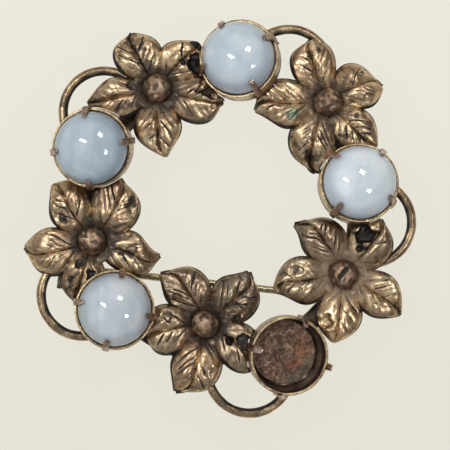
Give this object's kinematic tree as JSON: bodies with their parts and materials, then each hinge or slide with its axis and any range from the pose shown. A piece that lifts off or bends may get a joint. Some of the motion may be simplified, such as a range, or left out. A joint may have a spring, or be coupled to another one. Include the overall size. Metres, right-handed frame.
{
  "type": "brooch",
  "caption": "Round wreath brooch: cast flowers and round cup settings with domed cabochons alternate on a flat back ring, with wire loops outside and a hinged pin across the back.",
  "frame": {"origin": "centre of the bounding box in plan, on the surface the brooch lies on with its pin side down", "axes": "+X to the viewer's right and +Y up as the brooch is worn, +Z out of its front, away from the cloth"},
  "size_m": [0.0538, 0.0548, 0.0133],
  "materials": {
    "ring_brass": "dark oxidised antique brass, flat stamped ring",
    "cup_brass": "brown-black oxidised antique brass, worn golden on the rim and prong tips",
    "petal_brass": "antique brass, dark brown in the veins and hollows, worn golden to pinkish on the lobes",
    "bead_brass": "rough pitted brown antique brass with worn bright spots",
    "wire_brass": "drawn antique brass wire, bright along the crown and dark below",
    "fitting_brass": "dull aged brass sheet",
    "pin_brass": "cleaner olive-toned brass wire, lightly polished",
    "opal_glass": "glossy translucent pale blue-grey opaline glass",
    "stone_cement": "dry granular brown cement with orange and dull red patches"
  },
  "bodies": {
    "wreath": {"back_ring": "ring_brass", "cup_1": "cup_brass", "cement_cup_1": "stone_cement", "cup_2": "cup_brass", "cement_cup_2": "stone_cement", "cup_3": "cup_brass", "cement_cup_3": "stone_cement", "cup_4": "cup_brass", "cement_cup_4": "stone_cement", "cup_5": "cup_brass", "cement_cup_5": "stone_cement", "cabochon_1": "opal_glass", "cabochon_2": "opal_glass", "cabochon_3": "opal_glass", "cabochon_4": "opal_glass", "flower_1": "petal_brass", "flower_2": "petal_brass", "flower_3": "petal_brass", "flower_4": "petal_brass", "flower_5": "petal_brass", "flower_bead_1": "bead_brass", "flower_bead_2": "bead_brass", "flower_bead_3": "bead_brass", "flower_bead_4": "bead_brass", "flower_bead_5": "bead_brass", "loop_1": "wire_brass", "loop_2": "wire_brass", "loop_3": "wire_brass", "loop_4": "wire_brass", "loop_5": "wire_brass", "hinge_plate": "fitting_brass", "hinge_rivet": "pin_brass", "pin_catch": "fitting_brass"},
    "hinge_knuckle": {"hinge_knuckle": "pin_brass"},
    "pin_stem": {"pin_stem": "pin_brass"}
  },
  "joints": [
    {"name": "pin_swing", "type": "hinge", "parent": "wreath", "child": "hinge_knuckle", "pos_m": [-0.02074, -0.00681, 0.00155], "axis": [0.1097, 0.994, 0], "range_deg": [0, 100]},
    {"name": "latch_flex", "type": "hinge", "parent": "hinge_knuckle", "child": "pin_stem", "pos_m": [-0.02074, -0.00681, 0.00155], "axis": [0, 0, 1], "range_deg": [0, 2.4], "stiffness_Nm_per_rad": 0.005}
  ]
}
